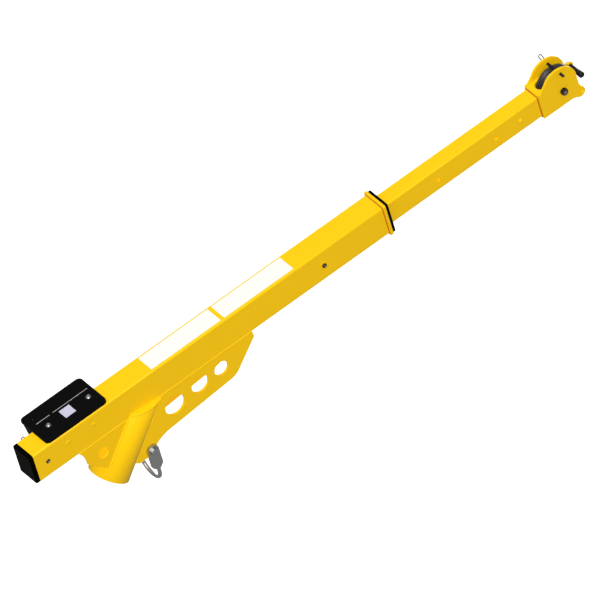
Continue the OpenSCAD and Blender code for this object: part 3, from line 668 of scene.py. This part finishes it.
# Dressed bolts and nuts, with the heights across the boom taken from the solids.
# hex: across flats, low, high, chamfer at the low end, chamfer at the high end, bore
# rod: low, high, radius, start of the thread, pitch
fasteners = [
    {"node": "axle_bolt", "body": "inner_boom", "finish": "bolt_head", "at": [boom["axle"]],
     "hex": (18, -41.5, -34, True, False), "rod": (-34, 47, 6, 34.5, 1.75)},
    {"node": "axle_nut", "body": "inner_boom", "finish": "zinc_steel", "at": [boom["axle"]],
     "hex": (18, 34, 44, True, True, 6)},
    {"node": "bail_bolt", "body": "boom", "finish": "zinc_steel", "at": [boom["bail"]],
     "hex": (18, -56, -48.5, True, False), "rod": (-48.5, 63, 6, 49, 1.75)},
    {"node": "bail_nut", "body": "boom", "finish": "zinc_steel", "at": [boom["bail"]],
     "hex": (18, 48.5, 59, True, True, 6)},
    {"node": "bracket_side_bolts", "body": "boom", "finish": "zinc_steel",
     "at": boom["accessHoles"], "hex": (17, 43.5, 50, False, True),
     "rod": (22.5, 43.5, 5, 22.6, 40)},  # a pitch longer than the rod leaves it plain
    {"node": "head_nut", "body": "inner_boom", "finish": "zinc_steel", "at": [boom["headBolt"]],
     "hex": (13, 25, 31.5, True, True, 4)},
    {"node": "roller_nut", "body": "inner_boom", "finish": "zinc_steel", "at": [boom["roller"]],
     "hex": (13, 31, 37.5, True, True, 4)},
]

for spec in fasteners:
    made = []
    for station, height in spec["at"]:
        copy = [hexPiece(*spec["hex"])]
        if "rod" in spec:
            copy.append(threadedRod(*spec["rod"]))
        for piece in copy:
            piece.data.transform(acrossBoom(station, height))
        made += copy
    seat(joinPieces(made), "dressed_" + spec["node"], spec["body"], spec["finish"],
         [spec["node"]])
print("fasteners dressed")


# Weld beads: a rippled unit, repeated along a path of points in metres
bead = {"ripple": 2.6, "swell": 1.12, "sides": 10, "fewest": 2, "mergeWithin": 0.0001,
        "smoothAngle": 60}
beadSteps = ((0.4, bead["swell"]), (0.4, 1.0), (0.2, 1 / bead["swell"]))  # share, growth


def weldBead(name, points, radius, body="boom", finish="yellow_paint"):
    clearSelection()
    path = bpy.data.curves.new(name + "Path", "CURVE")
    path.dimensions = "3D"
    path.twist_mode = "MINIMUM"
    line = path.splines.new("POLY")
    line.points.add(len(points) - 1)
    for spot, point in zip(line.points, points):
        spot.co = (*point, 1)
    guide = bpy.data.objects.new(name + "Path", path)
    scene.collection.objects.link(guide)
    length = sum((Vector(b) - Vector(a)).length for a, b in zip(points, points[1:]))
    count = max(bead["fewest"], round(length / (bead["ripple"] * millimetre)))
    step = length / count
    bpy.ops.mesh.primitive_circle_add(vertices=bead["sides"], radius=radius * millimetre,
                                      fill_type="NOTHING", rotation=(0, math.radians(90), 0))
    piece = bpy.context.object
    bakePlace(piece)
    bpy.ops.object.mode_set(mode="EDIT")
    bpy.ops.mesh.select_all(action="SELECT")
    for share, grow in beadSteps:
        bpy.ops.mesh.extrude_region_move(TRANSFORM_OT_translate={"value": (share * step, 0, 0)})
        bpy.ops.transform.resize(value=(1, grow, grow), center_override=(0, 0, 0))
    bpy.ops.object.mode_set(mode="OBJECT")
    row = piece.modifiers.new("row", "ARRAY")
    row.count = count
    row.use_relative_offset = False
    row.use_constant_offset = True
    row.constant_offset_displace = (step, 0, 0)
    row.use_merge_vertices = True
    row.merge_threshold = bead["mergeWithin"]
    follow = piece.modifiers.new("follow", "CURVE")
    follow.object = guide
    applyModifiers(piece)
    bpy.data.objects.remove(guide)
    takeUp(piece)
    bpy.ops.object.mode_set(mode="EDIT")
    bpy.ops.mesh.select_all(action="SELECT")
    bpy.ops.mesh.fill_holes(sides=0)
    bpy.ops.mesh.select_all(action="SELECT")
    bpy.ops.mesh.normals_make_consistent(inside=False)
    bpy.ops.object.mode_set(mode="OBJECT")
    return seat(piece, name, body, finish, smoothAngle=bead["smoothAngle"])


lineSteps = 8


def boomLine(start, end):
    ends = [onBoom(*start), onBoom(*end)]
    return [ends[0].lerp(ends[1], i / lineSteps) for i in range(lineSteps + 1)]


def sleeveLine(x, y, low, high):
    return [Vector((x, y, low + (high - low) * i / lineSteps)) * millimetre
            for i in range(lineSteps + 1)]


loopShape = {"cornerSteps": 6, "gap": 0.5}


def tubeLoop(station, halfWidth, halfHeight, corner):
    # Once round a rectangular tube, starting and ending under it
    points = [onBoom(station, 0, -halfHeight)]
    quarter = 90 / loopShape["cornerSteps"]
    for side, top, start in ((1, -1, -90), (1, 1, 0), (-1, 1, 90), (-1, -1, 180)):
        for i in range(loopShape["cornerSteps"] + 1):
            turn = math.radians(start + quarter * i)
            points.append(onBoom(station, side * (halfWidth - corner) + corner * math.cos(turn),
                                 top * (halfHeight - corner) + corner * math.sin(turn)))
    points.append(onBoom(station, -loopShape["gap"], -halfHeight))
    return points


# Where the gussets meet the boom from outside and inside, as (side, height)
gussetSeam = {"outer": (36.3, -47.3), "outerRadius": 2.3, "inner": (31.2, -49.3),
              "innerRadius": 2.2, "spans": {"rear": (131, 290), "front": (406, 711)}}
# Where the gussets meet the sleeve, and the sloping plates beside the boom
sleeveSeam = {"x": 43.4, "y": 37.9, "radius": 2.4, "front": (56, 251), "rear": (38, 181)}
plateSeam = {"y": 38.1, "height": 224.6, "slope": math.tan(math.radians(34)), "reach": 43,
             "step": 2, "radius": 2.2}

for side, sideName in ((-1, "near"), (1, "far")):
    for part, (low, high) in gussetSeam["spans"].items():
        for key, middle in (("outer", ""), ("inner", "inside_")):
            y, z = gussetSeam[key]
            weldBead(f"weld_{part}_gusset_{middle}{sideName}",
                     boomLine((low, side * y, z), (high, side * y, z)),
                     gussetSeam[key + "Radius"])
    for part, x in (("front", sleeveSeam["x"]), ("rear", -sleeveSeam["x"])):
        weldBead(f"weld_sleeve_{part}_{sideName}",
                 sleeveLine(x, side * sleeveSeam["y"], *sleeveSeam[part]), sleeveSeam["radius"])
    slopingLine = [Vector((x, side * plateSeam["y"],
                           plateSeam["height"] + x * plateSeam["slope"])) * millimetre
                   for x in range(-plateSeam["reach"], plateSeam["reach"] + 1,
                                  plateSeam["step"])]
    weldBead(f"weld_sleeve_top_{sideName}", slopingLine, plateSeam["radius"])

# Beads round the tubes: station, half width, half height and corner of the loop
collarSeam = {"loop": (1177.6, 38.0, 49.5, 5.5), "radius": 1.6}
headSeam = {"loop": (1710.4, 25.6, 37.1, 5.6), "radius": 2.0}
# The collar and head beads are coloured dark orange-brown as painted shade in the joints where the
# tubes meet the collar and the head
weldBead("weld_collar", tubeLoop(*collarSeam["loop"]), collarSeam["radius"],
         finish="painted_shade_joint")
weldBead("weld_head", tubeLoop(*headSeam["loop"]), headSeam["radius"], "inner_boom",
         "painted_shade_joint")

# Beads of the winch bracket, and thin light lines along its tab edges that are a painted highlight
bracketSeams = {"side": 43.8, "sideHeight": 48.7, "sideSpan": (63, 245), "sideRadius": 2.2,
                "end": 43.9, "endHeights": (-27, 47), "endRadius": 2.0,
                "endStations": {"rear": 62.3, "front": 245.7},
                "tab": 43.3, "tabHeight": 55.1, "tabRadius": 0.7,
                "tabSpans": ((74, 118), (129, 245))}
low, high = bracketSeams["sideSpan"]
weldBead("weld_bracket_side",
         boomLine((low, bracketSeams["side"], bracketSeams["sideHeight"]),
                  (high, bracketSeams["side"], bracketSeams["sideHeight"])),
         bracketSeams["sideRadius"], finish="black_paint")
for endName, station in bracketSeams["endStations"].items():
    low, high = bracketSeams["endHeights"]
    weldBead(f"weld_bracket_end_{endName}",
             boomLine((station, bracketSeams["end"], low), (station, bracketSeams["end"], high)),
             bracketSeams["endRadius"], finish="black_paint")
# Thin light-grey lines laid along the tab edges as a painted highlight
for number, (low, high) in enumerate(bracketSeams["tabSpans"]):
    weldBead(f"bracket_tab_seam_{number}",
             boomLine((low, bracketSeams["tab"], bracketSeams["tabHeight"]),
                      (high, bracketSeams["tab"], bracketSeams["tabHeight"])),
             bracketSeams["tabRadius"], finish="painted_highlight_edge")
print("welds laid")


# Domed plugs in the two access holes of the near wall, each turned to face the near side
plug = {"sides": 40,
        "profile": [(-3, 4.9), (0, 4.9), (0.01, 6.9), (0.5, 6.9), (1.1, 6.2), (1.5, 4.4),
                    (1.7, 2.2), (1.75, 0.2)]}
plugs = []
for station, height in boom["accessHoles"]:
    piece = turnPiece(plug["profile"], plug["sides"])
    piece.data.transform(acrossBoom(station, height)
                         @ Matrix.Rotation(math.radians(180), 4, "X")
                         @ Matrix.Translation((0, 0, boom["halfWidth"] * millimetre)))
    plugs.append(piece)
seat(joinPieces(plugs), "hole_plugs", "boom", "yellow_paint")

# Thin discs behind the lock holes of the inner tube's near wall
disc = {"radius": 9, "side": -19.4, "thickness": 0.8, "sides": 40}
discs = []
for station, height in boom["lockHoles"]:
    piece = turnPiece([(disc["side"], disc["radius"]),
                       (disc["side"] + disc["thickness"], disc["radius"])], disc["sides"])
    piece.data.transform(acrossBoom(station, height))
    discs.append(piece)
seat(joinPieces(discs), "lock_hole_discs", "inner_boom", "yellow_paint")
print("plugs and discs fitted")
